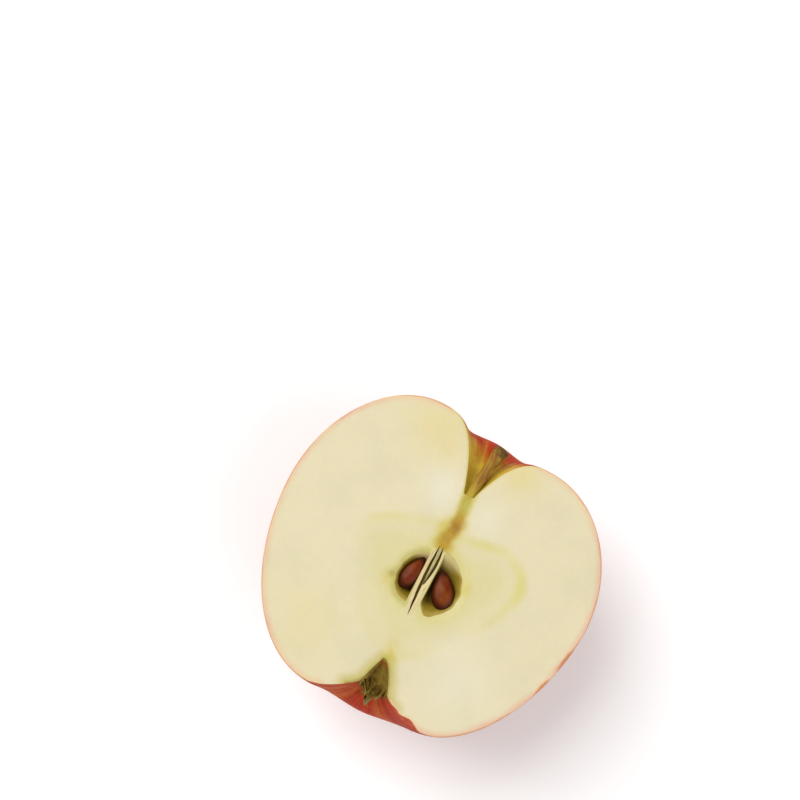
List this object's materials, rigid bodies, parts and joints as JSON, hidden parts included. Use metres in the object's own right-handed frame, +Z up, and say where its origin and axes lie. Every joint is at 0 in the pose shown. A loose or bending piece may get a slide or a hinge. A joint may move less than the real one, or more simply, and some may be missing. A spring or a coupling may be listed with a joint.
{
  "type": "apple half",
  "caption": "Half of a red-streaked apple cut from stem to calyx, lying on its round back with its cream cut face, core and dark seeds up.",
  "frame": {"origin": "middle of the small flat resting spot under the half's round back, straight below the line of the core", "axes": "+X across the cut face, +Y along the core towards the stem, +Z up out of the cut face"},
  "size_m": [0.0738, 0.0691, 0.0381],
  "materials": {
    "flesh": "moist cream apple flesh on the cut, waxy red-streaked skin on the back",
    "stem": "dry olive-brown woody stem",
    "seed": "smooth glossy red-brown seed coat",
    "calyx": "dried olive-brown sepals and stamens, dull"
  },
  "bodies": {
    "root": {"flesh": "flesh", "stem": "stem", "seed_left": "seed", "seed_right": "seed", "calyx": "calyx"}
  },
  "joints": []
}
